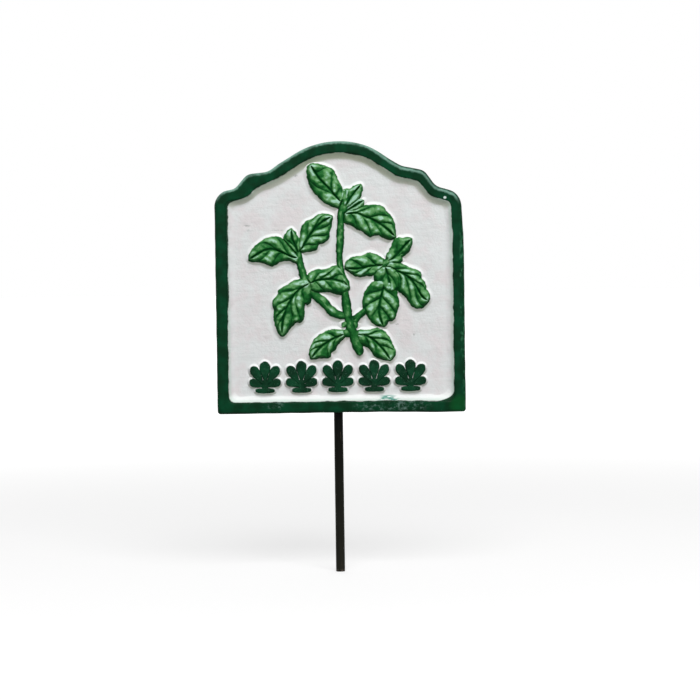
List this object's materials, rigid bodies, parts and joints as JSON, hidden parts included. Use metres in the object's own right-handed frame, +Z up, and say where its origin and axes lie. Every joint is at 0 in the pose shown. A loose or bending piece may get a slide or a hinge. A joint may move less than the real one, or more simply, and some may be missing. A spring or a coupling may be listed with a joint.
{
  "type": "plant label stake",
  "caption": "Garden label stake: a cast plaque with a raised border, a leafy sprig in relief and a row of small ornaments, on a slim steel rod.",
  "frame": {"origin": "centre of the rod's square-cut foot, the end that goes into the soil", "axes": "+Z up along the rod towards the plaque, the plaque's painted face towards -Y, +X to the right as seen from the front"},
  "size_m": [0.082, 0.0087, 0.1424],
  "materials": {
    "white_panel_paint": "off-white enamel brushed over sand-cast iron, semi-matte",
    "dark_green_border_paint": "bottle-green enamel, hand-painted, satin, scuffed at the foot",
    "leaf_green_paint": "leaf-green enamel, darker in the grooves, rubbed pale on the crests",
    "dark_green_ornament_paint": "bottle-green enamel on the raised tops, satin",
    "black_rod_paint": "black stove paint on steel wire, satin"
  },
  "bodies": {
    "stake": {"stake_rod": "black_rod_paint"},
    "plaque": {"plaque_plate": "white_panel_paint", "rim_band": "dark_green_border_paint", "herb_sprig": "leaf_green_paint", "ornament_row": "dark_green_ornament_paint"}
  },
  "joints": [
    {"name": "plaque_lift_off", "type": "slide", "parent": "stake", "child": "plaque", "axis": [0, 0, 1], "range_m": [0, 0.016]}
  ]
}
